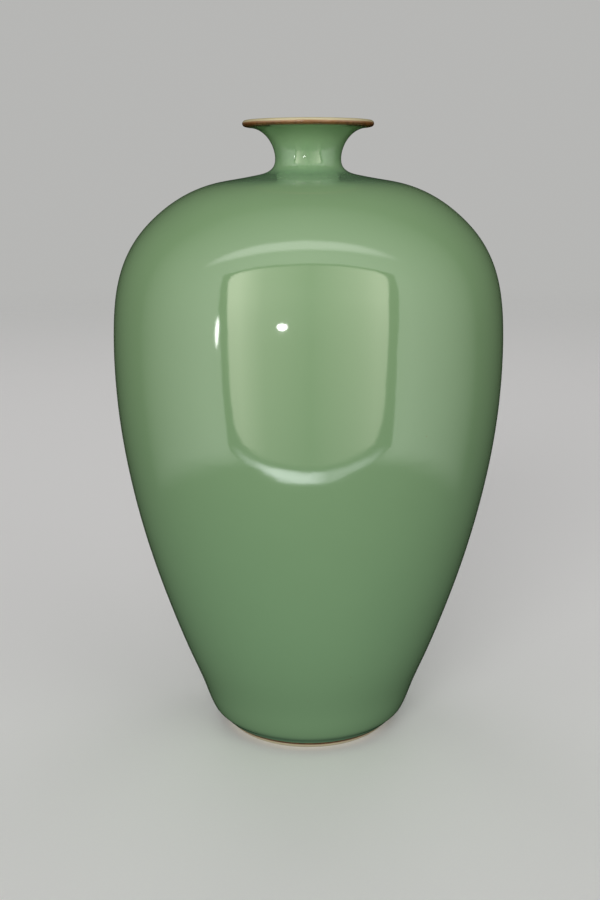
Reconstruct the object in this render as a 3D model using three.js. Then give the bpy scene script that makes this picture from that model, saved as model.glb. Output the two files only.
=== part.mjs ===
// A tall porcelain vase with broad shoulders, a short neck and a flared mouth, under a celadon glaze.
// It is thrown in sections that are joined with slip, then glazed, with an iron-brown edge at lip and foot.
// Millimetres, +Z up. The origin is the middle of the face that the foot stands on.
import * as THREE from "three";

// ---- Driving dimensions of the glazed outside ----
const HEIGHT = 350;
const FOOT = { radius: 49, edge: 50.6, bareHeight: 2.6 };
const GLAZE_END = { radius: 53, height: 4.6 };
const HEEL = { radius: 59, height: 12 };
const BELLY = { radius: 109.9, height: 221 };
const SHOULDER = { radius: 84.8, height: 298.6 };
const COLLAR = { radius: 34.4, height: 319.8 };
const NECK = { radius: 18.2, height: 329.5 };
const LIP = { radius: 36.1, thickness: 3.4 };

// ---- Walls and coats ----
const GAP = 0.3; // clearance kept between neighbouring pieces
const WALL = { foot: 6.5, belly: 5.4, shoulder: 5, neck: 3.6, lip: LIP.thickness };
const OUTER_COAT = { foot: 1, belly: 0.9, shoulder: 0.9, neck: 0.8, lip: 0.5 };
const INNER_COAT = 0.5;
const LIP_COAT = 0.5;
const SLIP = 1; // thickness of a slip joint

// ---- Foot, base and joints ----
const BEARING = { inner: 44, chamfer: 0.5 };
const RECESS_RADIUS = 43.3;
const FOOT_RING_TOP = 7;
const BASE_THICKNESS = 5;
const BASE_COAT = 0.8;
const BASE_COAT_HEM = 2;
const IRON_LINE = { depth: 0.6, spread: 1.5, bottom: 2.9, top: 4.1 };
const WAIST_HEIGHT = 150;
const NECK_JOINT_RADIUS = 29;

const SEGMENTS = 40; // facets round the axis, the same on every piece

const at = (r, z) => new THREE.Vector2(r, z);
const lipCentre = at(LIP.radius - LIP.thickness / 2, HEIGHT - LIP.thickness / 2);

// ---- Outline of the glazed outside, from the foot up to the lip ----
const heel = new THREE.CubicBezierCurve(
  at(GLAZE_END.radius, GLAZE_END.height), at(53.6, 6.4),
  at(58.1, 8.8), at(HEEL.radius, HEEL.height),
);
const wall = new THREE.CubicBezierCurve(
  at(HEEL.radius, HEEL.height), at(64.2, 30.3),
  at(BELLY.radius, 123.5), at(BELLY.radius, BELLY.height),
);
const shoulder = new THREE.CubicBezierCurve(
  at(BELLY.radius, BELLY.height), at(BELLY.radius, 257.5),
  at(106.4, 279.1), at(SHOULDER.radius, SHOULDER.height),
);
const crown = new THREE.CubicBezierCurve(
  at(SHOULDER.radius, SHOULDER.height), at(63.2, 318.1),
  at(43.7, 317.7), at(COLLAR.radius, COLLAR.height),
);
const fillet = new THREE.CubicBezierCurve(
  at(COLLAR.radius, COLLAR.height), at(26.6, 321.5),
  at(NECK.radius, 321.5), at(NECK.radius, NECK.height),
);
const flare = new THREE.CubicBezierCurve(
  at(NECK.radius, NECK.height), at(NECK.radius, 336.1),
  at(22.8, 346.3), at(lipCentre.x, HEIGHT - LIP.thickness),
);

// Stations along the outline: a point, its outward normal and the length run so far.
function layStations(pieces) {
  const stations = [];
  for (const [curve, steps] of pieces) {
    for (let i = stations.length ? 1 : 0; i <= steps; i++) {
      const point = curve.getPoint(i / steps);
      const tangent = curve.getTangent(i / steps);
      const last = stations.at(-1);
      const run = last ? last.run + last.point.distanceTo(point) : 0;
      stations.push({ point, normal: at(tangent.y, -tangent.x), run });
    }
  }
  return stations;
}

const stations = layStations([
  [heel, 4], [wall, 7], [shoulder, 6], [crown, 5], [fillet, 5], [flare, 5],
]);
const runAt = (test) => stations.find(({ point }) => test(point)).run;
const RUN = {
  foot: 0,
  belly: runAt((p) => p.y >= BELLY.height - 1e-6),
  shoulder: runAt((p) => p.y >= SHOULDER.height - 1e-6),
  neck: runAt((p) => p.y >= NECK.height - 1e-6),
  lip: stations.at(-1).run,
};

// A thickness that changes evenly between its named places on the outline.
function graded(sizes) {
  const names = Object.keys(RUN);
  return (run) => {
    const i = Math.max(1, names.findIndex((name) => RUN[name] >= run - 1e-6));
    const [low, high] = [names[i - 1], names[i]];
    const share = (run - RUN[low]) / (RUN[high] - RUN[low]);
    return THREE.MathUtils.lerp(sizes[low], sizes[high], share);
  };
}

// The face that lies a given depth inside the outline.
function faceAt(depth) {
  return stations.map(({ point, normal, run }) => (
    { point: point.clone().addScaledVector(normal, -depth(run)), run }
  ));
}

// The points of a face between two lengths along the outline.
function stretch(face, start, end) {
  const pointAt = (run) => {
    const i = Math.max(1, face.findIndex((station) => station.run >= run - 1e-6));
    const [low, high] = [face[i - 1], face[i]];
    return low.point.clone().lerp(high.point, (run - low.run) / (high.run - low.run));
  };
  const between = face.filter(({ run }) => run > start + 1e-3 && run < end - 1e-3);
  return [pointAt(start), ...between.map(({ point }) => point), pointAt(end)];
}

// The part of a rising row of points that lies above a height.
function above(points, height) {
  const i = points.findIndex(({ y }) => y > height);
  const [low, high] = [points[i - 1], points[i]];
  const crossing = low.clone().lerp(high, (height - low.y) / (high.y - low.y));
  return [crossing, ...points.slice(i)];
}

// Length along the outline at which it reaches a height or, past the shoulder, comes in to a radius.
function runWhere(reached, measure) {
  const i = stations.findIndex(({ point }) => reached(point));
  const [low, high] = [stations[i - 1], stations[i]];
  return THREE.MathUtils.mapLinear(
    measure.value, low.point[measure.axis], high.point[measure.axis], low.run, high.run,
  );
}

const coatDepth = graded(OUTER_COAT);
const wallDepth = graded(WALL);
const faces = {
  outside: faceAt(() => 0),
  outerCoatBack: faceAt(coatDepth),
  bodyOutside: faceAt((run) => coatDepth(run) + GAP),
  bodyInside: faceAt((run) => wallDepth(run) - INNER_COAT - GAP),
  innerCoatBack: faceAt((run) => wallDepth(run) - INNER_COAT),
  inside: faceAt(wallDepth),
};

const waist = runWhere((p) => p.y >= WAIST_HEIGHT, { axis: "y", value: WAIST_HEIGHT });
const neckJoint = runWhere(
  (p) => p.y > SHOULDER.height && p.x <= NECK_JOINT_RADIUS,
  { axis: "x", value: NECK_JOINT_RADIUS },
);
const HALF_JOINT = SLIP / 2 + GAP;
const wallFoot = FOOT_RING_TOP + SLIP + 2 * GAP; // where wall and base stand on their slip

// ---- Materials ----
function finish(color, roughness) {
  return new THREE.MeshStandardMaterial({ color, roughness, metalness: 0 });
}

const BARE_PORCELAIN = { color: 0xd9d2b8, roughness: 0.75 };
const SLIP_FINISH = { color: 0xe3ddc8, roughness: 0.8 };
const CELADON = { color: 0x86a87e, roughness: 0.12 };
const PALE_CELADON = { color: 0xc3cdaa, roughness: 0.15 };
const IRON = { color: 0x7a4a24, roughness: 0.3 };

// A solid of revolution from an outline that closes on itself or runs from axis to axis.
function turned(name, outline, { color, roughness }) {
  const closed = [...outline];
  if (outline[0].x > 0) closed.push(outline[0].clone());
  const solid = new THREE.LatheGeometry(closed, SEGMENTS).rotateX(Math.PI / 2);
  const mesh = new THREE.Mesh(solid, finish(color, roughness));
  mesh.name = name;
  return mesh;
}

// A stretch of wall between an outer and an inner face.
function shell(name, outer, inner, look) {
  return turned(name, [...outer, ...inner.toReversed()], look);
}

// Points on an arc about the lip's centre, from the underside over the edge to the top.
function lipArc(radius, steps) {
  return Array.from({ length: steps + 1 }, (_, i) => {
    const turn = Math.PI * (i / steps - 0.5);
    return at(lipCentre.x + radius * Math.cos(turn), lipCentre.y + radius * Math.sin(turn));
  });
}

// ---- Porcelain sections ----
function footRing() {
  const body = stretch(faces.bodyOutside, 0, waist);
  const underGlaze = body.filter(({ y }) => y < FOOT_RING_TOP);
  const underIron = FOOT.edge - IRON_LINE.depth - GAP;
  return turned("foot_ring", [
    at(BEARING.inner, 0),
    at(FOOT.radius - BEARING.chamfer, 0),
    at(FOOT.radius, BEARING.chamfer),
    at(FOOT.edge, FOOT.bareHeight),
    at(underIron, FOOT.bareHeight),
    at(underIron, IRON_LINE.top + GAP),
    ...underGlaze,
    above(body, FOOT_RING_TOP)[0],
    at(RECESS_RADIUS, FOOT_RING_TOP),
    at(RECESS_RADIUS, BEARING.chamfer),
  ], BARE_PORCELAIN);
}

function baseDisc() {
  const edge = above(stretch(faces.bodyInside, 0, waist), wallFoot)[0].x - GAP;
  return turned("base_disc", [
    at(0, wallFoot),
    at(edge, wallFoot),
    at(edge, wallFoot + BASE_THICKNESS),
    at(0, wallFoot + BASE_THICKNESS),
  ], BARE_PORCELAIN);
}

function lowerBody() {
  const end = waist - HALF_JOINT;
  return shell(
    "lower_body",
    above(stretch(faces.bodyOutside, 0, end), wallFoot),
    above(stretch(faces.bodyInside, 0, end), wallFoot),
    BARE_PORCELAIN,
  );
}

function upperBody() {
  const [start, end] = [waist + HALF_JOINT, neckJoint - HALF_JOINT];
  return shell(
    "upper_body",
    stretch(faces.bodyOutside, start, end),
    stretch(faces.bodyInside, start, end),
    BARE_PORCELAIN,
  );
}

function neckAndMouth() {
  const start = neckJoint + HALF_JOINT;
  const edge = lipArc(LIP.thickness / 2 - LIP_COAT - GAP, 4);
  return shell(
    "neck_and_mouth",
    [...stretch(faces.bodyOutside, start, RUN.lip), ...edge.slice(1, -1)],
    stretch(faces.bodyInside, start, RUN.lip),
    BARE_PORCELAIN,
  );
}

// ---- Slip joints between the sections ----
function footSlipJoint() {
  const [bottom, top] = [FOOT_RING_TOP + GAP, wallFoot - GAP];
  const edge = above(stretch(faces.bodyOutside, 0, waist), bottom)[0].x;
  return turned("foot_slip_joint", [
    at(RECESS_RADIUS + GAP, bottom), at(edge, bottom), at(edge, top), at(RECESS_RADIUS + GAP, top),
  ], SLIP_FINISH);
}

function slipJoint(name, middle) {
  const ends = [middle - SLIP / 2, middle + SLIP / 2];
  return shell(
    name,
    stretch(faces.bodyOutside, ...ends),
    stretch(faces.bodyInside, ...ends),
    SLIP_FINISH,
  );
}

// ---- Glaze coats ----
function outerGlaze() {
  const end = RUN.lip - GAP;
  return shell(
    "outer_glaze",
    stretch(faces.outside, 0, end),
    stretch(faces.outerCoatBack, 0, end),
    CELADON,
  );
}

function innerGlaze() {
  const end = RUN.lip - GAP;
  const floor = wallFoot + BASE_THICKNESS + GAP;
  return turned("inner_glaze", [
    at(0, floor),
    ...above(stretch(faces.innerCoatBack, 0, end), floor),
    ...above(stretch(faces.inside, 0, end), floor + INNER_COAT).toReversed(),
    at(0, floor + INNER_COAT),
  ], PALE_CELADON);
}

function baseGlaze() {
  const outerRadius = RECESS_RADIUS - GAP;
  const top = wallFoot - GAP;
  return turned("base_glaze", [
    at(0, top - BASE_COAT),
    at(outerRadius - BASE_COAT, top - BASE_COAT),
    at(outerRadius - BASE_COAT, BASE_COAT_HEM),
    at(outerRadius, BASE_COAT_HEM),
    at(outerRadius, top),
    at(0, top),
  ], CELADON);
}

// ---- Iron-brown edges ----
function mouthRimBand() {
  return shell(
    "mouth_rim_band",
    lipArc(LIP.thickness / 2, 8),
    lipArc(LIP.thickness / 2 - LIP_COAT, 8),
    IRON,
  );
}

function footIronLine() {
  const { depth, spread, bottom, top } = IRON_LINE;
  return turned("foot_iron_line", [
    at(FOOT.edge - depth, bottom), at(FOOT.edge, bottom),
    at(FOOT.edge + spread, top), at(FOOT.edge - depth, top),
  ], IRON);
}

const vase = new THREE.Group();
vase.add(
  footRing(), baseDisc(), lowerBody(), upperBody(), neckAndMouth(),
  footSlipJoint(), slipJoint("waist_slip_joint", waist), slipJoint("neck_slip_joint", neckJoint),
  outerGlaze(), innerGlaze(), baseGlaze(), mouthRimBand(), footIronLine(),
);

export default vase;
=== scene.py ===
"""A celadon vase: porcelain sections joined with slip, glazed inside and out, with iron-brown edges.

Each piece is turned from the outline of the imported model's node that it stands for, in the same frame.
Lengths are metres.
"""

import math

import bmesh
import bpy
import numpy as np
from bpy.props import FloatProperty, FloatVectorProperty, IntProperty, PointerProperty
from mathutils import Euler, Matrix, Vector


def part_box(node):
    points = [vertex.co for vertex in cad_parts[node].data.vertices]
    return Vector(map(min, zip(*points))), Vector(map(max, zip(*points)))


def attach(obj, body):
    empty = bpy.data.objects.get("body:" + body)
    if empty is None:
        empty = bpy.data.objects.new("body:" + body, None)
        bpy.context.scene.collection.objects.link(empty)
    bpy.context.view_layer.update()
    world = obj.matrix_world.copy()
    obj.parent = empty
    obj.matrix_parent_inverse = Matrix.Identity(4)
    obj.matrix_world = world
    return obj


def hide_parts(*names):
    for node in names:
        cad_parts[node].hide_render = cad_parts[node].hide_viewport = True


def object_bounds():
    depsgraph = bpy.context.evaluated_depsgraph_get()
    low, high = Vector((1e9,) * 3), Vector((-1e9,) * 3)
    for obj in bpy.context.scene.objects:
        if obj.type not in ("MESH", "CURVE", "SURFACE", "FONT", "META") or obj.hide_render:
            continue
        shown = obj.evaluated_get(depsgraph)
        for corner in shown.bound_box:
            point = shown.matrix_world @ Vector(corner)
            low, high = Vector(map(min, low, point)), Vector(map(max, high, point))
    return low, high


bl_info = {
    "name": "Celadon Vase",
    "version": (1, 0, 0),
    "blender": (4, 5, 0),
    "location": "3D View > Sidebar > Vase",
    "description": "Turns, glazes and lights a celadon porcelain vase around its packed model",
    "category": "Add Mesh",
}

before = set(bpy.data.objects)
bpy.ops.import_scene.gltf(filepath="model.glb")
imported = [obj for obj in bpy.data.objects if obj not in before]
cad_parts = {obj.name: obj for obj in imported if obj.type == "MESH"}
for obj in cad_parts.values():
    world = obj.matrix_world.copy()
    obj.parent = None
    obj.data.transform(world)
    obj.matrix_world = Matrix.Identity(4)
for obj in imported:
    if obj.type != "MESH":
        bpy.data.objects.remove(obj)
CAD_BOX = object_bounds()
BODY = "root"
MM = 0.001
CLEARANCE = 0.3 * MM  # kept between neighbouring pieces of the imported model
SAME_POINT = 2e-6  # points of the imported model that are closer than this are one
SHARP = math.radians(38)  # a sharper turn in a thrown outline is an edge of the piece
TURNED_SHARP = math.radians(10)  # the same in an outline cut with a turning tool
TOP = CAD_BOX[1].z


# ---- Sizes, colours and lights that a user may change ----
def length(name, description, default, low=0.0):
    return FloatProperty(name=name, description=description, default=default, min=low, unit="LENGTH",
                         precision=5)


def colour(name, description, default):
    return FloatVectorProperty(name=name, description=description, default=default, min=0, max=1,
                               size=3, subtype="COLOR")


def strength(name, description, default):
    return FloatProperty(name=name, description=description, default=default, min=0)


class VaseShape(bpy.types.PropertyGroup):
    """How finely the vase is turned and how much the potter's hand shows in it."""

    steps_round: IntProperty(name="Steps Round", description="Faces round the axis", default=216, min=24)
    fine: length("Fine Step", "Length of a face along an outline that shows", 1.45 * MM, 0.0002)
    coarse: length("Coarse Step", "Length of a face along an outline that is covered", 5 * MM, 0.0002)
    waver: length("Waver", "Depth of the slow unevenness of the thrown wall", 0.16 * MM)
    throwing_lines: length("Throwing Lines", "Depth of the faint rings left by throwing", 0.03 * MM)
    turned_edge: length("Turned Edge", "Radius of the edges turned on the bare clay", 0.25 * MM)
    glaze_edge: length("Glaze Edge", "Radius of the rolled end of a glaze coat", 0.42 * MM)
    meeting_edge: length("Meeting Edge", "Radius of a coat's edge where it meets the brown lip", 0.1 * MM)


class VaseColours(bpy.types.PropertyGroup):
    """The colours of clay, glazes and iron."""

    celadon_high: colour("Celadon High", "Glaze on the shoulder and the neck", (0.255, 0.405, 0.205))
    celadon_low: colour("Celadon Low", "Glaze on the lower wall", (0.236, 0.405, 0.212))
    # Darker green of pooled glaze, also used as painted shade at the heel, in the crease at the neck's root
    # and on the neck
    celadon_pooled_and_shade: colour("Celadon Pooled", "Glaze where it runs thick", (0.115, 0.27, 0.175))
    celadon_thin: colour("Celadon Thin", "Glaze where it runs thin over an edge", (0.42, 0.52, 0.31))
    pale_inside: colour("Pale Inside", "Thin glaze inside the mouth", (0.50, 0.60, 0.42))
    lip_cream: colour("Lip Cream", "Crest of the lip, where the brown has run off", (0.62, 0.54, 0.32))
    iron: colour("Iron Brown", "Iron-brown edge of the lip and the line at the foot", (0.24, 0.095, 0.028))
    iron_dark: colour("Iron Dark", "Iron where it is thickest", (0.075, 0.026, 0.010))
    bare_body: colour("Bare Porcelain", "Bare clay of the foot ring", (0.76, 0.67, 0.44))
    toasted: colour("Toasted Clay", "Clay that the kiln has toasted beside the glaze", (0.42, 0.22, 0.10))
    soil: colour("Soil", "Dust rubbed into the bearing edge", (0.30, 0.26, 0.20))
    slip: colour("Slip", "Slip between the sections", (0.78, 0.73, 0.58))


class VaseStudio(bpy.types.PropertyGroup):
    """The room and the lights that the vase is seen in."""

    floor: colour("Floor", "Plain pale floor", (0.90, 0.89, 0.88))
    backdrop: colour("Backdrop", "Plain background", (0.47, 0.47, 0.46))
    ambient: strength("Ambient", "Even light from all round", 0.32)
    key: strength("Key", "Large soft light in front, from the upper left", 1.0)
    fill: strength("Fill", "Soft light from the right", 1.0)
    back: strength("Back", "Soft lights behind the vase", 1.0)
    window: strength("Window", "Brightness of the lights that only the glaze mirrors", 1.0)
    veil: strength("Veil", "Brightness of the room that the glaze mirrors", 2.2)


# ---- Node trees ----
class Flow:
    """A socket's value, so that sums of values read as arithmetic."""

    def __init__(self, tree, socket):
        self.tree = tree
        self.socket = socket

    def combined(self, operation, *others):
        return add_node(self.tree, "ShaderNodeMath", {"operation": operation},
                        dict(enumerate((self, *others))))

    def __add__(self, other):
        return self.combined("ADD", other)

    def __sub__(self, other):
        return self.combined("SUBTRACT", other)

    def __mul__(self, other):
        return self.combined("MULTIPLY", other)

    def __truediv__(self, other):
        return self.combined("DIVIDE", other)

    def __pow__(self, other):
        return self.combined("POWER", other)

    __radd__ = __add__
    __rmul__ = __mul__


def add_node(tree, kind, settings=None, sockets=None, output=0):
    """Adds a node, sets it up, feeds its sockets with values or flows, and gives one output as a flow."""
    node = tree.nodes.new(kind)
    for name, value in (settings or {}).items():
        if name == "stops":
            set_stops(node.color_ramp, value)
        else:
            setattr(node, name, value)
    for key, value in (sockets or {}).items():
        if isinstance(value, Flow):
            tree.links.new(value.socket, node.inputs[key])
        else:
            node.inputs[key].default_value = value
    return Flow(tree, node.outputs[output]) if node.outputs else node


def set_stops(ramp, stops):
    while len(ramp.elements) < len(stops):
        ramp.elements.new(0.5)
    for element, (place, shade) in zip(ramp.elements, stops):
        element.position = place
        element.color = (*shade, 1) if isinstance(shade, tuple) else (shade, shade, shade, 1)


def parts_of(tree, vector):
    node = add_node(tree, "ShaderNodeSeparateXYZ", None, {0: vector}).socket.node
    return [Flow(tree, output) for output in node.outputs]


def step(tree, value, start, end, low=0.0, high=1.0):
    """A soft step from low to high while the value goes from start to end."""
    return add_node(tree, "ShaderNodeMapRange", {"interpolation_type": "SMOOTHSTEP"},
                    {"Value": value, "From Min": start, "From Max": end, "To Min": low, "To Max": high})


def band(tree, value, start, end, soft):
    """One between start and end, with soft shoulders, and zero outside."""
    return (step(tree, value, start - soft, start + soft)
            * step(tree, value, end - soft, end + soft, 1.0, 0.0))


def noise(tree, place, scale, detail=2.0, roughness=0.5):
    return add_node(tree, "ShaderNodeTexNoise", {"noise_dimensions": "3D"},
                    {"Vector": place, "Scale": scale, "Detail": detail, "Roughness": roughness})


def rings(tree, value, scale):
    """Noise that changes along one measure only, as turned lines do."""
    return add_node(tree, "ShaderNodeTexNoise", {"noise_dimensions": "1D"},
                    {"W": value, "Scale": scale, "Detail": 2.0})


def blend(tree, share, first, second, how="MIX"):
    settings = {"data_type": "RGBA", "blend_type": how}
    return add_node(tree, "ShaderNodeMix", settings, {0: share, 6: opaque(first), 7: opaque(second)}, 2)


def opaque(shade):
    return shade if isinstance(shade, Flow) else (*shade, 1)


# ---- Outlines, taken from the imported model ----
def outline_of(node):
    """The outline of a turned node in the half plane of the axis: points (radius, height), anticlockwise."""
    block = bmesh.new()
    block.from_mesh(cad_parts[node].data)
    bmesh.ops.remove_doubles(block, verts=block.verts[:], dist=SAME_POINT)
    cut_across(block, (1, 0, 0), clear_inner=True)
    cut = cut_across(block, (0, 1, 0))["geom_cut"]
    pairs = [tuple((round(v.co.x, 7), round(v.co.z, 7)) for v in edge.verts)
             for edge in cut if isinstance(edge, bmesh.types.BMEdge)]
    block.free()
    return anticlockwise(chained(pairs))


def cut_across(block, normal, **options):
    """Cuts a mesh along a plane through the axis."""
    everything = block.verts[:] + block.edges[:] + block.faces[:]
    return bmesh.ops.bisect_plane(block, geom=everything, dist=SAME_POINT, plane_co=(0, 0, 0),
                                  plane_no=normal, **options)


def chained(pairs):
    """Puts the edges of one outline in a row. An outline that meets the axis starts and ends there."""
    beside = {}
    for first, second in pairs:
        beside.setdefault(first, []).append(second)
        beside.setdefault(second, []).append(first)
    ends = [point for point, near in beside.items() if len(near) == 1]
    row = [min(ends or beside, key=lambda point: (point[1], point[0]))]
    while len(row) < len(beside):
        row.append(next(point for point in beside[row[-1]] if point not in row[-2:]))
    return row


def anticlockwise(row):
    area = sum(a[0] * b[1] - b[0] * a[1] for a, b in zip(row, row[1:] + row[:1]))
    return row if area > 0 else row[::-1]


def shifted(row, test, by):
    """Moves those points of an outline that pass a test."""
    return [(r + by[0], z + by[1]) if test(r, z) else (r, z) for r, z in row]


def turn_at(before, here, after):
    first = math.atan2(here[1] - before[1], here[0] - before[0])
    second = math.atan2(after[1] - here[1], after[0] - here[0])
    return abs((second - first + math.pi) % math.tau - math.pi)


def stretches(row, sharp):
    """Cuts an outline at its corners into rows of points that bend smoothly."""
    closed = row[0][0] > SAME_POINT / 2
    if closed:
        after = row[1:] + row[:1]
        first = next(i for i, point in enumerate(row) if turn_at(row[i - 1], point, after[i]) > sharp)
        row = row[first:] + row[:first] + [row[first]]
    cuts = [i for i in range(1, len(row) - 1) if turn_at(row[i - 1], row[i], row[i + 1]) > sharp]
    return [row[a:b + 1] for a, b in zip([0] + cuts, cuts + [len(row) - 1])], closed


class SmoothLine:
    """A line through points that bends evenly, measured by the length run along it."""

    def __init__(self, points):
        self.points = np.array(points)
        steps = np.diff(self.points, axis=0)
        self.widths = np.linalg.norm(steps, axis=1)
        self.runs = np.concatenate([[0], np.cumsum(self.widths)])
        self.length = self.runs[-1]
        self.bends = np.zeros_like(self.points)
        if len(points) > 2:
            slopes = steps / self.widths[:, None]
            matrix = (np.diag(2 * (self.widths[:-1] + self.widths[1:]))
                      + np.diag(self.widths[1:-1], 1) + np.diag(self.widths[1:-1], -1))
            self.bends[1:-1] = np.linalg.solve(matrix, 6 * np.diff(slopes, axis=0))

    def at(self, run):
        i = min(max(int(np.searchsorted(self.runs, run)) - 1, 0), len(self.widths) - 1)
        width = self.widths[i]
        b = (run - self.runs[i]) / width
        a = 1 - b
        curve = ((a**3 - a) * self.bends[i] + (b**3 - b) * self.bends[i + 1]) * width**2 / 6
        return tuple(a * self.points[i] + b * self.points[i + 1] + curve)


def sampled(line, start, end, spacing):
    """Points along a line, with one more close to each end, so that shading turns only at the edges."""
    count = max(1, math.ceil((end - start) / spacing))
    runs = [start + (end - start) * i / count for i in range(count + 1)]
    guard = 0.2 * MM
    if (end - start) / count > 2 * guard:
        runs = [start, start + guard, *runs[1:-1], end - guard, end]
    return [line.at(run) for run in runs]


def rounded(before, corner, after, steps=5):
    """The points of a small round between two lines that meet at a corner, without its ends."""
    shares = [i / steps for i in range(1, steps)]
    return [tuple((1 - t)**2 * p + 2 * t * (1 - t) * q + t * t * s for p, q, s in zip(before, corner, after))
            for t in shares]


def refined(row, radius, spacing_of, sharp=SHARP):
    """An outline with its smooth stretches drawn finely and its corners rounded. It ends where it starts."""
    rows, closed = stretches(row, sharp)
    lines = [SmoothLine(points) for points in rows]
    trims = [min(radius(*points[-1]), 0.45 * a.length, 0.45 * b.length)
             for points, a, b in zip(rows, lines, lines[1:] + lines[:1])]
    if not closed:
        trims[-1] = 0.0
    fine = []
    for i, line in enumerate(lines):
        stretch = sampled(line, trims[i - 1], line.length - trims[i], spacing_of(rows[i]))
        if fine:
            fine += rounded(fine[-1], rows[i][0], stretch[0])
        fine += stretch
    if closed:
        fine += rounded(fine[-1], rows[0][0], fine[0]) + [fine[0]]
    return fine


# ---- Turning an outline on the wheel ----
def wheel_tree():
    """Geometry Nodes that turn an outline round the axis, with the slow waver and faint lines of throwing."""
    tree = bpy.data.node_groups.new("turned_on_wheel", "GeometryNodeTree")
    sockets = [("Outline", "NodeSocketGeometry", None), ("Steps Round", "NodeSocketInt", 216),
               ("Waver", "NodeSocketFloat", 0.0), ("Throwing Lines", "NodeSocketFloat", 0.0),
               ("Still Below", "NodeSocketFloat", 0.0), ("Still Above", "NodeSocketFloat", 1.0),
               ("Finish", "NodeSocketMaterial", None)]
    for name, kind, default in sockets:
        socket = tree.interface.new_socket(name, in_out="INPUT", socket_type=kind)
        if default is not None:
            socket.default_value = default
    tree.interface.new_socket("Turned", in_out="OUTPUT", socket_type="NodeSocketGeometry")
    given = tree.nodes.new("NodeGroupInput")
    outline, steps, waver, lines, still_below, still_above, finish = (
        Flow(tree, output) for output in given.outputs[:len(sockets)])

    count = add_node(tree, "GeometryNodeAttributeDomainSize", {"component": "MESH"}, {0: outline})
    grid = add_node(tree, "GeometryNodeMeshGrid", None,
                    {"Size X": 1.0, "Size Y": 1.0, "Vertices X": steps + 1, "Vertices Y": count})
    index = add_node(tree, "GeometryNodeInputIndex")
    column = add_node(tree, "FunctionNodeIntegerMath", {"operation": "DIVIDE_FLOOR"}, {0: index, 1: count})
    row = add_node(tree, "FunctionNodeIntegerMath", {"operation": "MODULO"}, {0: index, 1: count})
    place = add_node(tree, "GeometryNodeInputPosition")
    point = add_node(tree, "GeometryNodeSampleIndex", {"data_type": "FLOAT_VECTOR", "domain": "POINT"},
                     {"Geometry": outline, "Value": place, "Index": row})
    turned = add_node(tree, "ShaderNodeVectorRotate", {"rotation_type": "Z_AXIS"},
                      {"Vector": point, "Angle": column / steps * math.tau})

    height = parts_of(tree, turned)[2]
    moving = (step(tree, height, still_below, still_below + 0.05)
              * step(tree, height, still_above - 0.03, still_above, 1.0, 0.0))
    slow = noise(tree, turned, 11.0, detail=1.0) - 0.5
    close = noise(tree, turned, 34.0, detail=1.0) - 0.5
    thrown = rings(tree, height, 95.0) - 0.5
    depth = ((slow * 2.0 + close * 0.5) * waver + thrown * lines) * moving
    outward = add_node(tree, "ShaderNodeVectorMath", {"operation": "NORMALIZE"},
                       {0: add_node(tree, "ShaderNodeVectorMath", {"operation": "MULTIPLY"},
                                    {0: turned, 1: (1, 1, 0)})})
    push = add_node(tree, "ShaderNodeVectorMath", {"operation": "SCALE"}, {0: outward, "Scale": depth})
    laid = add_node(tree, "GeometryNodeSetPosition", None,
                    {"Geometry": grid, "Position": turned, "Offset": push})
    joined = add_node(tree, "GeometryNodeMergeByDistance", None, {"Geometry": laid, "Distance": 1e-6})
    smooth = add_node(tree, "GeometryNodeSetShadeSmooth", None, {"Geometry": joined})
    real = add_node(tree, "GeometryNodeRealizeInstances", None, {"Geometry": smooth})
    dressed = add_node(tree, "GeometryNodeSetMaterial", None, {"Geometry": real, "Material": finish})
    tree.links.new(dressed.socket, tree.nodes.new("NodeGroupOutput").inputs[0])
    return tree


def wheel():
    return bpy.data.node_groups.get("turned_on_wheel") or wheel_tree()


def turned_piece(name, node, outline, finish):
    """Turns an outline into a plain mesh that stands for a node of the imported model."""
    shape = bpy.context.scene.vase_shape
    drawing = bpy.data.meshes.new(name + "_outline")
    drawing.from_pydata([(r, 0, z) for r, z in outline], [(i, i + 1) for i in range(len(outline) - 1)], [])
    piece = bpy.data.objects.new(name, drawing)
    bpy.context.scene.collection.objects.link(piece)
    modifier = piece.modifiers.new("turned_on_wheel", "NODES")
    modifier.node_group = wheel()
    values = {"Steps Round": shape.steps_round, "Waver": shape.waver, "Throwing Lines": shape.throwing_lines,
              "Still Below": 0.010, "Still Above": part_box("neck_slip_joint")[0].z, "Finish": finish}
    for socket in wheel().interface.items_tree:
        if socket.in_out == "INPUT" and socket.name in values:
            modifier[socket.identifier] = values[socket.name]
    graph = bpy.context.evaluated_depsgraph_get()
    solid = bpy.data.meshes.new_from_object(piece.evaluated_get(graph), depsgraph=graph)
    solid.name = name
    piece.modifiers.remove(modifier)
    piece.data = solid
    bpy.data.meshes.remove(drawing)
    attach(piece, BODY)
    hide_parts(node)
    return piece


def rising(points):
    return points[-1][1] > points[0][1]


def same_everywhere(value):
    return lambda *_: value


# ---- Finishes ----
# Where the glaze changes: stretches of height, the upper ones measured from the top of the vase
# Heel: pooled glaze, with painted shade of the foot of the wall over it
HEEL_POOL_AND_SHADE = (3.5 * MM, 12.5 * MM)
# Crease at the neck's root: pooled glaze, with painted shade of the neck on the shoulder
FILLET_POOL_AND_SHADE = (TOP - 33.5 * MM, TOP - 26.5 * MM)
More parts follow.
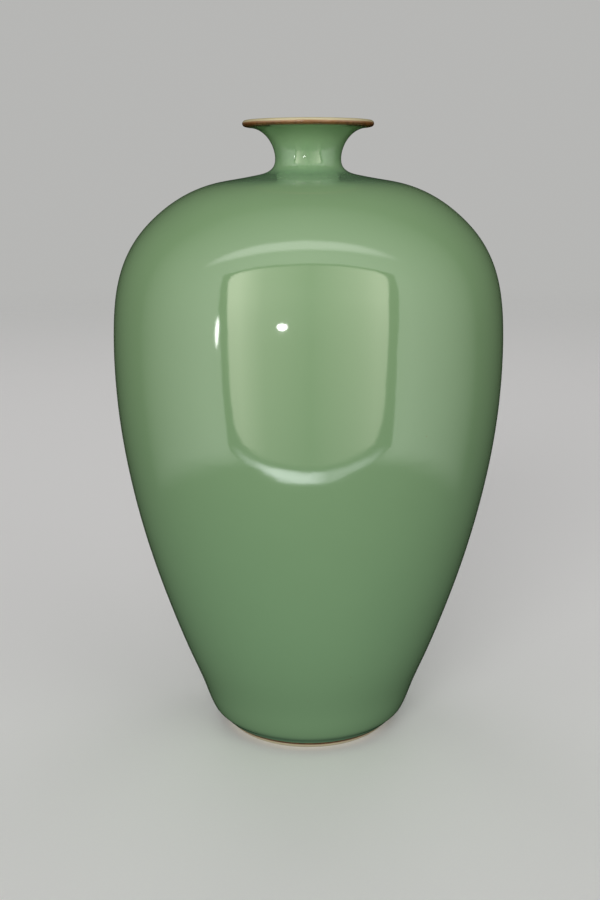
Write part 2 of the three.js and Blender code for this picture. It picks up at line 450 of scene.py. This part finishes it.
# Neck: painted shade that darkens the glaze of the neck
NECK_PAINTED_SHADE = (TOP - 26.5 * MM, TOP - 13 * MM)
THIN_UNDER_LIP = (TOP - 5.8 * MM, TOP - 3 * MM)
IRON_UNDER_LIP = (TOP - 6 * MM, TOP - 4 * MM)
IRON_FROM_RADIUS = (31 * MM, 33.5 * MM)
CREAM_INSIDE = (TOP - 4.2 * MM, TOP - 0.4 * MM)
GREEN_INSIDE = (TOP - 30 * MM, TOP - 8 * MM)
CREST = (TOP - 1.6 * MM, TOP - 1 * MM)
PEACH_BELOW_CREST = (TOP - 2.6 * MM, TOP - 1.4 * MM)
IRON_LINE_END = (2.7 * MM, 3.3 * MM)
TOASTED_CLAY = (1.9 * MM, 2.8 * MM)
WORN_EDGE = (0, 0.5 * MM)
CERAMIC_IOR = 1.5
GLAZE_RIPPLE = 0.016 * MM  # depth of the ripple of a glaze's surface


def new_finish(name):
    material = bpy.data.materials.new(name)
    material.use_nodes = True
    material.node_tree.nodes.clear()
    return material, material.node_tree


def object_place(tree):
    return add_node(tree, "ShaderNodeTexCoord", None, None, 3)


def ceramic(tree, sockets, bump=None):
    """Ends a finish in one shader. The bump is (height, depth)."""
    if bump:
        height, depth = bump
        sockets["Normal"] = add_node(tree, "ShaderNodeBump", None,
                                     {"Strength": 1.0, "Distance": depth, "Height": height})
    shader = add_node(tree, "ShaderNodeBsdfPrincipled", None, {**sockets, "IOR": CERAMIC_IOR})
    add_node(tree, "ShaderNodeOutputMaterial", None, {"Surface": shader})


def radius_from_axis(x, y):
    return (x * x + y * y) ** 0.5


def celadon(name, top_tint=True):
    """Thick, glossy green glaze: paler and yellower high up, darker where it pools, with painted shade low on
    the wall, at the heel, in the crease at the neck's root and on the neck.
    """
    colours = bpy.context.scene.vase_colours
    material, tree = new_finish(name)
    place = object_place(tree)
    x, y, height = parts_of(tree, place)
    drift = noise(tree, place, 9.0, detail=2.0)
    cloud = noise(tree, place, 42.0, detail=3.0)
    grain = noise(tree, place, 900.0, detail=1.0)

    share = step(tree, height + (drift - 0.5) * 0.06, 0.04, 0.27)
    green = blend(tree, share, colours.celadon_low, colours.celadon_high)
    tone_and_low_shade = 0.955 + (drift * 0.05 + cloud * 0.03 + grain * 0.012)
    # Painted shade: the glaze is darker towards the bottom of the wall, down to 0.87 of its tone at the
    # floor, on top of its random tone.
    tone_and_low_shade = tone_and_low_shade * step(tree, height, -0.01, 0.10, 0.87, 1.0)
    green = blend(tree, 1.0, green, grey(tree, tone_and_low_shade), "MULTIPLY")

    # Pooled glaze and painted shade: the heel darker just above the foot
    heel_pool_and_shade = step(tree, height + (cloud - 0.5) * 2 * MM, *HEEL_POOL_AND_SHADE, 1.0, 0.0)
    # Pooled glaze and painted shade in the crease at the neck's root
    fillet_pool_and_shade = band(tree, height, *FILLET_POOL_AND_SHADE, 3 * MM)
    # Painted shade on the neck: a darker band of the glaze
    neck = band(tree, height, *NECK_PAINTED_SHADE, 5 * MM)
    # The three bands blend towards the darker green: pooled glaze at the heel and in the crease, and painted
    # shade in all three
    deeper_green_share = heel_pool_and_shade * 0.5 + fillet_pool_and_shade * 0.36 + neck * 0.16
    green = blend(tree, deeper_green_share, green, colours.celadon_pooled_and_shade)

    thin = step(tree, height + (cloud - 0.5) * 1.2 * MM, *THIN_UNDER_LIP)
    green = blend(tree, thin * (0.45 if top_tint else 0.0), green, colours.celadon_thin)
    rim = step(tree, radius_from_axis(x, y) + (cloud - 0.5) * MM, *IRON_FROM_RADIUS)
    rim = rim * step(tree, height, *IRON_UNDER_LIP)
    green = blend(tree, rim * 0.9, green, colours.iron)

    speck = iron_speck(tree, place)
    green = blend(tree, speck * 0.7, green, colours.iron)
    ripple = noise(tree, place, 260.0, detail=1.0) * 0.7 + noise(tree, place, 95.0, detail=1.0)
    ceramic(tree, {"Base Color": green, "Roughness": 0.052 + cloud * 0.03 + speck * 0.1},
            (ripple, GLAZE_RIPPLE))
    return material


def grey(tree, value):
    return add_node(tree, "ShaderNodeCombineXYZ", None, {0: value, 1: value, 2: value})


def iron_speck(tree, place):
    """Very few, very small dark specks in a glaze."""
    cells = add_node(tree, "ShaderNodeTexVoronoi", {"feature": "F1"},
                     {"Vector": place, "Scale": 85.0, "Randomness": 1.0}).socket.node
    distance = Flow(tree, cells.outputs["Distance"])
    chance = parts_of(tree, Flow(tree, cells.outputs["Color"]))[0]
    return step(tree, distance, 0.012, 0.03, 1.0, 0.0) * step(tree, chance, 0.93, 0.94)


def pale_glaze():
    """Thin pale glaze inside, creamier towards the lip and greener down the neck."""
    colours = bpy.context.scene.vase_colours
    material, tree = new_finish("pale_glaze_coat")
    place = object_place(tree)
    height = parts_of(tree, place)[2]
    cloud = noise(tree, place, 60.0, detail=3.0)
    drift = noise(tree, place, 14.0, detail=2.0)
    creamy = step(tree, height + (cloud - 0.5) * 1.6 * MM, *CREAM_INSIDE)
    shade = blend(tree, creamy * 0.8, colours.pale_inside, colours.lip_cream)
    shade = blend(tree, 1.0, shade, grey(tree, 0.93 + (cloud * 0.07 + drift * 0.06)), "MULTIPLY")
    deeper_green_share = step(tree, height, *GREEN_INSIDE, 0.55, 0.0)
    shade = blend(tree, deeper_green_share, shade, colours.celadon_high)
    ripple = noise(tree, place, 240.0, detail=1.0)
    ceramic(tree, {"Base Color": shade, "Roughness": 0.08 + cloud * 0.05}, (ripple, GLAZE_RIPPLE))
    return material


def brushed_iron():
    """Iron brown brushed unevenly round the lip and run off its crest."""
    colours = bpy.context.scene.vase_colours
    material, tree = new_finish("iron_brown_lip")
    place = object_place(tree)
    height = parts_of(tree, place)[2]
    uneven = noise(tree, place, 70.0, detail=3.0) - 0.5
    fine = noise(tree, place, 420.0, detail=2.0)
    level = height + uneven * 0.6 * MM
    crest = step(tree, level, *CREST)
    peach = step(tree, level, *PEACH_BELOW_CREST)
    thick = step(tree, fine + uneven, 0.35, 0.75)
    brown = blend(tree, thick * 0.6, colours.iron, colours.iron_dark)
    shade = blend(tree, peach * 0.7, brown, colours.toasted)
    shade = blend(tree, crest, shade, colours.lip_cream)
    ceramic(tree, {"Base Color": shade, "Roughness": 0.15 + fine * 0.14}, (fine, 0.02 * MM))
    return material


def toasted_iron():
    """Iron line where the glaze ends at the foot, fading into bare clay."""
    colours = bpy.context.scene.vase_colours
    material, tree = new_finish("iron_brown_foot")
    place = object_place(tree)
    height = parts_of(tree, place)[2]
    uneven = noise(tree, place, 90.0, detail=3.0) - 0.5
    fine = noise(tree, place, 650.0, detail=2.0)
    shade = blend(tree, step(tree, fine, 0.4, 0.7), colours.iron_dark, colours.iron)
    low = step(tree, height + uneven * 0.6 * MM, *IRON_LINE_END, 1.0, 0.0)
    shade = blend(tree, low * 0.5, shade, colours.toasted)
    ceramic(tree, {"Base Color": shade, "Roughness": 0.45 + fine * 0.25}, (fine, 0.04 * MM))
    return material


def bare_porcelain():
    """Bare clay of the foot ring: turned lines, fine grit, toasting beside the glaze and soil on the edge."""
    colours = bpy.context.scene.vase_colours
    material, tree = new_finish("bare_porcelain_ring")
    place = object_place(tree)
    x, y, height = parts_of(tree, place)
    radius = radius_from_axis(x, y)
    grit = noise(tree, place, 1500.0, detail=3.0, roughness=0.7)
    drift = noise(tree, place, 45.0, detail=3.0)
    lines = rings(tree, radius + height * 0.7, 3200.0)
    shade = blend(tree, 1.0, colours.bare_body, grey(tree, 0.86 + (grit * 0.16 + lines * 0.08)), "MULTIPLY")
    beside = step(tree, height + (drift - 0.5) * 1.1 * MM, *TOASTED_CLAY)
    shade = blend(tree, beside * 0.7, shade, colours.toasted)
    worn = step(tree, height + (drift - 0.5) * 0.6 * MM, *WORN_EDGE, 1.0, 0.0)
    shade = blend(tree, worn * drift * 0.55, shade, colours.soil)
    pit = add_node(tree, "ShaderNodeTexVoronoi", {"feature": "F1"}, {"Vector": place, "Scale": 700.0})
    pitted = step(tree, pit, 0.05, 0.2)
    relief = grit * 0.5 + lines * 0.6 + pitted * 0.3
    ceramic(tree, {"Base Color": shade, "Roughness": 0.62 + grit * 0.22}, (relief, 0.06 * MM))
    return material


def fired_clay(name, base, scale):
    """Clay under the glaze and slip between the sections, with the marks of the throwing fingers."""
    material, tree = new_finish(name)
    place = object_place(tree)
    height = parts_of(tree, place)[2]
    grit = noise(tree, place, scale, detail=3.0, roughness=0.7)
    fingers = rings(tree, height, 220.0)
    shade = blend(tree, 1.0, base, grey(tree, 0.88 + (grit * 0.12 + fingers * 0.08)), "MULTIPLY")
    ceramic(tree, {"Base Color": shade, "Roughness": 0.6 + grit * 0.25}, (grit * 0.3 + fingers, 0.1 * MM))
    return material


# ---- The pieces ----
LIP_REACH = 2.2 * MM  # how far in from the lip's edge the coats end
MEETING_SHIFT = (0.9 * CLEARANCE, 0)  # closes the clearance between a coat and the brown lip
HEM_SHIFT = (1.1 * CLEARANCE, 0)  # lets the base coat run into the foot ring
TUCK = 0.1 * MM  # overlap that hides the meeting of two pieces


def near_lip(r, z):
    """Whether a point of an outline is on the end of a coat that meets the brown lip."""
    low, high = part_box("mouth_rim_band")
    return r > high.x - LIP_REACH and z > low.z - CLEARANCE


class VASE_OT_build_outer_coat(bpy.types.Operator):
    """Celadon coat outside, with a rolled end above the foot and a close meeting with the lip"""

    bl_idname = "vase.build_outer_coat"
    bl_label = "Outer Coat"

    def execute(self, context):
        shape = context.scene.vase_shape
        outline = shifted(outline_of("outer_glaze"), near_lip, MEETING_SHIFT)
        fine = refined(outline, lambda r, z: shape.meeting_edge if near_lip(r, z) else shape.glaze_edge,
                       lambda points: shape.fine if rising(points) else shape.coarse)
        turned_piece("celadon_outer_coat", "outer_glaze", fine, celadon("celadon_outside"))
        return {"FINISHED"}


class VASE_OT_build_inner_coat(bpy.types.Operator):
    """Pale coat inside, from the floor of the vase up to the lip"""

    bl_idname = "vase.build_inner_coat"
    bl_label = "Inner Coat"

    def execute(self, context):
        shape = context.scene.vase_shape
        outline = shifted(outline_of("inner_glaze"), near_lip, MEETING_SHIFT)
        fine = refined(outline, lambda r, z: shape.meeting_edge if near_lip(r, z) else 3 * MM,
                       lambda points: shape.coarse if rising(points) else 1.6 * shape.fine)
        turned_piece("pale_inner_coat", "inner_glaze", fine, pale_glaze())
        return {"FINISHED"}


class VASE_OT_build_base_coat(bpy.types.Operator):
    """Celadon coat in the recess under the base, run down against the foot ring"""

    bl_idname = "vase.build_base_coat"
    bl_label = "Base Coat"

    def execute(self, context):
        shape = context.scene.vase_shape
        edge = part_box("base_glaze")[1].x
        outline = shifted(outline_of("base_glaze"), lambda r, z: r > edge - TUCK, HEM_SHIFT)
        fine = refined(outline, same_everywhere(shape.glaze_edge), same_everywhere(shape.fine))
        turned_piece("celadon_base_coat", "base_glaze", fine, celadon("celadon_base", top_tint=False))
        return {"FINISHED"}


class VASE_OT_build_foot_ring(bpy.types.Operator):
    """Turned foot ring, bare where the vase stands on it"""

    bl_idname = "vase.build_foot_ring"
    bl_label = "Foot Ring"

    def execute(self, context):
        shape = context.scene.vase_shape
        fine = refined(outline_of("foot_ring"), same_everywhere(shape.turned_edge),
                       same_everywhere(0.8 * MM), TURNED_SHARP)
        turned_piece("bare_foot_ring", "foot_ring", fine, bare_porcelain())
        return {"FINISHED"}


class VASE_OT_build_iron_edges(bpy.types.Operator):
    """Iron-brown edge of the lip and iron-brown line above the foot ring"""

    bl_idname = "vase.build_iron_edges"
    bl_label = "Iron Edges"

    def execute(self, context):
        shape = context.scene.vase_shape
        lip = refined(outline_of("mouth_rim_band"), same_everywhere(shape.meeting_edge),
                      same_everywhere(0.3 * MM))
        turned_piece("iron_lip_edge", "mouth_rim_band", lip, brushed_iron())
        line = refined(self.line_outline(), same_everywhere(shape.meeting_edge), same_everywhere(0.4 * MM),
                       TURNED_SHARP)
        turned_piece("iron_foot_line", "foot_iron_line", line, toasted_iron())
        return {"FINISHED"}

    def line_outline(self):
        """The line fills the groove from the ledge of the ring up to the rolled end of the glaze."""
        low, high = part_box("foot_iron_line")
        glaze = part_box("outer_glaze")[0].z
        edge = min(r for r, z in outline_of("outer_glaze") if z < glaze + 0.6 * MM) - TUCK
        ledge = max(r for r, z in outline_of("foot_ring") if z < low.z) + TUCK
        back = edge - 1.8 * MM
        return [(back, low.z - CLEARANCE), (ledge, low.z - CLEARANCE), (high.x, high.z),
                (edge, glaze + 0.3 * MM), (back, high.z + 0.35 * MM)]


class VASE_OT_build_sections(bpy.types.Operator):
    """Thrown porcelain sections under the coats: base, lower wall, upper wall and neck"""

    bl_idname = "vase.build_sections"
    bl_label = "Porcelain Sections"

    def execute(self, context):
        shape = context.scene.vase_shape
        clay = fired_clay("porcelain_under_glaze", context.scene.vase_colours.bare_body, 900.0)
        for node in ("base_disc", "lower_body", "upper_body", "neck_and_mouth"):
            fine = refined(outline_of(node), same_everywhere(shape.turned_edge),
                           same_everywhere(0.6 * shape.coarse))
            turned_piece("thrown_" + node, node, fine, clay)
        return {"FINISHED"}


class VASE_OT_build_slip_joints(bpy.types.Operator):
    """Slip that joins the sections at the foot, the waist and the neck"""

    bl_idname = "vase.build_slip_joints"
    bl_label = "Slip Joints"

    def execute(self, context):
        shape = context.scene.vase_shape
        slip = fired_clay("joining_slip", context.scene.vase_colours.slip, 1400.0)
        for node in ("foot_slip_joint", "waist_slip_joint", "neck_slip_joint"):
            fine = refined(outline_of(node), same_everywhere(shape.turned_edge),
                           same_everywhere(shape.fine))
            turned_piece(node + "_slip", node, fine, slip)
        return {"FINISHED"}


# ---- The studio ----
FLOOR_RADIUS = 4.0
FLOOR_FADE = (0.9, 3.0)  # distances from the vase between which the floor fades into the background
VASE_MIDDLE = (0, 0, 0.2)
BACK_LIGHT = (1.1, 1.1)
# Brightness across and up the mirrored lights: places from 0 to 1, and shares of the full brightness
WINDOW_ACROSS = [(0, 1.0), (0.12, 0.95), (0.28, 0.42), (0.52, 0.16), (0.76, 0.52), (0.9, 0.8), (1, 0.8)]
WINDOW_UPWARD = [(0, 0.5), (0.3, 0.72), (0.6, 1.0), (1, 1.0)]
LOWER_ACROSS = [(0, 0.4), (0.2, 0.4), (0.32, 1.0), (0.5, 0.9), (0.6, 0.35), (1, 0.35)]
WINDOW_TINT = (1.0, 1.0, 0.82)
LOWER_TINT = (0.93, 1.0, 1.0)
VEIL_TINT = (0.95, 1.0, 0.92)
CARD_PLACE = -0.462  # y of the card, just behind the window light
CARD_CORNERS = ((-0.45, -0.04), (0.47, -0.04), (0.47, 0.2), (0.63, 0.75), (-0.63, 0.75), (-0.47, 0.2))
CAMERA_PLACE = (-0.0045, -0.6475, 0.3184)
CAMERA_TURN = (math.radians(90 - 13.36), math.radians(0.113), 0)
LENS = 45.5  # millimetres, as the sensor is
SENSOR_WIDTH = 36


def aim(thing, place, target):
    thing.location = place
    thing.rotation_euler = (Vector(target) - Vector(place)).to_track_quat("-Z", "Y").to_euler()
    bpy.context.scene.collection.objects.link(thing)


def soft_light(name, place, size, power):
    """A large soft light on the vase that lights surfaces and isn't mirrored in them."""
    lamp = bpy.data.lights.new(name, "AREA")
    lamp.shape = "RECTANGLE"
    lamp.size, lamp.size_y = size
    lamp.energy = power
    thing = bpy.data.objects.new(name, lamp)
    thing.visible_glossy = False
    thing.visible_camera = False
    aim(thing, place, VASE_MIDDLE)


def mirrored_light(name, place, size, radiance, target=None, tint=(1, 1, 1), across=None, upward=None,
                   soft=0.9, squareness=2.0, waist=1.0):
    """A light that is only seen mirrored in the glaze. It faces straight back unless it has a target.

    across and upward are how its brightness varies. squareness 2 makes it an ellipse, and more squares it up.
    soft is the share of it in which it fades out. waist is how wide it still is at its lower end.
    """
    lamp = bpy.data.lights.new(name, "AREA")
    lamp.shape = "RECTANGLE"
    lamp.size, lamp.size_y = size
    lamp.energy = radiance * size[0] * size[1] * 4
    lamp.color = tint
    lamp.use_nodes = True
    tree = lamp.node_tree
    tree.nodes.clear()
    u, v, _ = parts_of(tree, add_node(tree, "ShaderNodeNewGeometry", None, None, "Parametric"))
    u = (u - 0.5) / (waist + (1 - waist) * v * v) + 0.5
    reach = sum((2 * side - 1).combined("ABSOLUTE") ** squareness for side in (u, v))
    share = step(tree, reach, 1.0 - soft, 1.0, 1.0, 0.0)
    for value, stops in ((u, across), (v, upward)):
        if stops:
            ramp = add_node(tree, "ShaderNodeValToRGB", {"stops": stops}, {0: value})
            share = share * ramp
    glow = add_node(tree, "ShaderNodeEmission", None, {"Strength": share})
    add_node(tree, "ShaderNodeOutputLight", None, {0: glow})
    thing = bpy.data.objects.new(name, lamp)
    thing.visible_diffuse = False
    thing.visible_camera = False
    aim(thing, place, target or (place[0], 0, place[2]))


class VASE_OT_build_studio(bpy.types.Operator):
    """Pale floor, plain background, soft lights and the camera"""

    bl_idname = "vase.build_studio"
    bl_label = "Studio"

    def execute(self, context):
        self.lay_floor(context.scene)
        self.light_room(context.scene)
        self.light_vase(context.scene.vase_studio)
        self.light_glaze(context.scene.vase_studio)
        self.place_camera(context.scene)
        context.scene.view_settings.view_transform = "Standard"
        return {"FINISHED"}

    def lay_floor(self, scene):
        disc = bmesh.new()
        bmesh.ops.create_circle(disc, cap_ends=True, cap_tris=False, segments=96, radius=FLOOR_RADIUS)
        sheet = bpy.data.meshes.new("studio_floor")
        disc.to_mesh(sheet)
        disc.free()
        material, tree = new_finish("studio_floor")
        place = object_place(tree)
        x, y, _ = parts_of(tree, place)
        fibre = noise(tree, place, 700.0, detail=2.0)
        shade = blend(tree, 1.0, scene.vase_studio.floor, grey(tree, 0.985 + fibre * 0.03), "MULTIPLY")
        cover = add_node(tree, "ShaderNodeBsdfDiffuse", None, {"Color": shade})
        clear = add_node(tree, "ShaderNodeBsdfTransparent")
        far = step(tree, radius_from_axis(x, y), *FLOOR_FADE)
        faded = add_node(tree, "ShaderNodeMixShader", None, {0: far, 1: cover, 2: clear})
        add_node(tree, "ShaderNodeOutputMaterial", None, {"Surface": faded})
        sheet.materials.append(material)
        floor = bpy.data.objects.new("studio_floor", sheet)
        scene.collection.objects.link(floor)
        floor.visible_glossy = False
        floor.visible_diffuse = False

    def light_room(self, scene):
        studio = scene.vase_studio
        world = bpy.data.worlds.new("studio_room")
        world.use_nodes = True
        tree = world.node_tree
        tree.nodes.clear()
        ray = add_node(tree, "ShaderNodeLightPath").socket.node
        seen, mirrored = (Flow(tree, ray.outputs[name]) for name in ("Is Camera Ray", "Is Glossy Ray"))
        way = add_node(tree, "ShaderNodeTexCoord", None, None, "Generated")
        _, y, up = parts_of(tree, way)
        frontal = add_node(tree, "ShaderNodeMapRange", {"clamp": True},
                           {"Value": y, "From Min": -0.5, "From Max": 0.38, "To Min": 1.0, "To Max": 0.0})
        veil = step(tree, up, -0.46, -0.38) * frontal * studio.veil
        mirrored_room = add_node(tree, "ShaderNodeBackground", None,
                                 {"Color": (*VEIL_TINT, 1), "Strength": veil})
        even = step(tree, up, -0.5, 0.4, 0.3, 1.1) * studio.ambient
        even_light = add_node(tree, "ShaderNodeBackground", None, {"Color": (1, 1, 1, 1), "Strength": even})
        backdrop = add_node(tree, "ShaderNodeBackground", None,
                            {"Color": (*studio.backdrop, 1), "Strength": 1.0})
        unseen = add_node(tree, "ShaderNodeMixShader", None, {0: mirrored, 1: even_light, 2: mirrored_room})
        room = add_node(tree, "ShaderNodeMixShader", None, {0: seen, 1: unseen, 2: backdrop})
        add_node(tree, "ShaderNodeOutputWorld", None, {"Surface": room})
        scene.world = world

    def light_vase(self, studio):
        soft_light("key_light", place=(-0.8, -3.9, 1.45), size=(2.7, 2.3), power=102 * studio.key)
        soft_light("fill_light", place=(1.4, -1.3, 0.8), size=(1.2, 1.2), power=4 * studio.fill)
        soft_light("back_left_light", place=(-0.9, 1.7, 2.1), size=BACK_LIGHT, power=5 * studio.back)
        soft_light("back_right_light", place=(1.0, 1.7, 2.2), size=BACK_LIGHT, power=5 * studio.back)

    def light_glaze(self, studio):
        bright = studio.window
        self.window_card()
        mirrored_light("window_light", place=(-0.008, -0.45, 0.355), size=(1.08, 0.71),
                       radiance=4.8 * bright, tint=WINDOW_TINT, across=WINDOW_ACROSS,
                       upward=WINDOW_UPWARD, soft=0.3, squareness=9, waist=0.70)
        mirrored_light("overhead_light", place=(-0.13, -0.34, 1.0), size=(1.9, 0.17),
                       radiance=2.4 * bright, target=(-0.13, -0.05, 0.3))
        mirrored_light("lower_light", place=(0, -0.45, -0.020), size=(0.86, 0.028),
                       radiance=7.5 * bright, tint=LOWER_TINT, across=LOWER_ACROSS, squareness=3)
        mirrored_light("spot_light", place=(-0.104, -0.449, 0.288), size=(0.044, 0.024),
                       radiance=60 * bright, soft=0.5)
        mirrored_light("left_light", place=(-0.503, -0.449, 0.277), size=(0.048, 0.15),
                       radiance=24 * bright)

    def window_card(self):
        """A black card round the window light, which only the glaze mirrors."""
        card = bpy.data.meshes.new("window_card")
        card.from_pydata([(x, CARD_PLACE, z) for x, z in CARD_CORNERS], [], [range(len(CARD_CORNERS))])
        material, tree = new_finish("window_card")
        black = add_node(tree, "ShaderNodeBsdfDiffuse", None, {"Color": (0, 0, 0, 1)})
        add_node(tree, "ShaderNodeOutputMaterial", None, {"Surface": black})
        card.materials.append(material)
        thing = bpy.data.objects.new("window_card", card)
        bpy.context.scene.collection.objects.link(thing)
        thing.visible_camera = thing.visible_diffuse = thing.visible_shadow = False

    def place_camera(self, scene):
        view = bpy.data.cameras.new("studio_camera")
        view.lens = LENS
        view.sensor_width = SENSOR_WIDTH
        view.clip_start = 0.01
        camera = bpy.data.objects.new("studio_camera", view)
        camera.location = CAMERA_PLACE
        camera.rotation_euler = Euler(CAMERA_TURN)
        scene.collection.objects.link(camera)
        scene.camera = camera


# ---- Panel and registration ----
BUILDERS = (VASE_OT_build_outer_coat, VASE_OT_build_inner_coat, VASE_OT_build_base_coat,
            VASE_OT_build_foot_ring, VASE_OT_build_iron_edges, VASE_OT_build_sections,
            VASE_OT_build_slip_joints, VASE_OT_build_studio)
GROUPS = {"vase_shape": VaseShape, "vase_colours": VaseColours, "vase_studio": VaseStudio}


class VASE_PT_panel(bpy.types.Panel):
    """Lists the settings and the pieces of the vase"""

    bl_idname = "VASE_PT_panel"
    bl_label = "Celadon Vase"
    bl_space_type = "VIEW_3D"
    bl_region_type = "UI"
    bl_category = "Vase"

    def draw(self, context):
        for group in GROUPS:
            box = self.layout.box()
            settings = getattr(context.scene, group)
            for name in settings.__annotations__:
                box.prop(settings, name)
        for builder in BUILDERS:
            self.layout.operator(builder.bl_idname)


def register():
    for group in (*GROUPS.values(), *BUILDERS, VASE_PT_panel):
        bpy.utils.register_class(group)
    for name, group in GROUPS.items():
        setattr(bpy.types.Scene, name, PointerProperty(type=group))


def unregister():
    for name in GROUPS:
        delattr(bpy.types.Scene, name)
    for group in (VASE_PT_panel, *reversed(BUILDERS), *GROUPS.values()):
        bpy.utils.unregister_class(group)


def main():
    register()
    for builder in BUILDERS:
        group, name = builder.bl_idname.split(".")
        getattr(getattr(bpy.ops, group), name)()


if __name__ == "__main__":
    main()
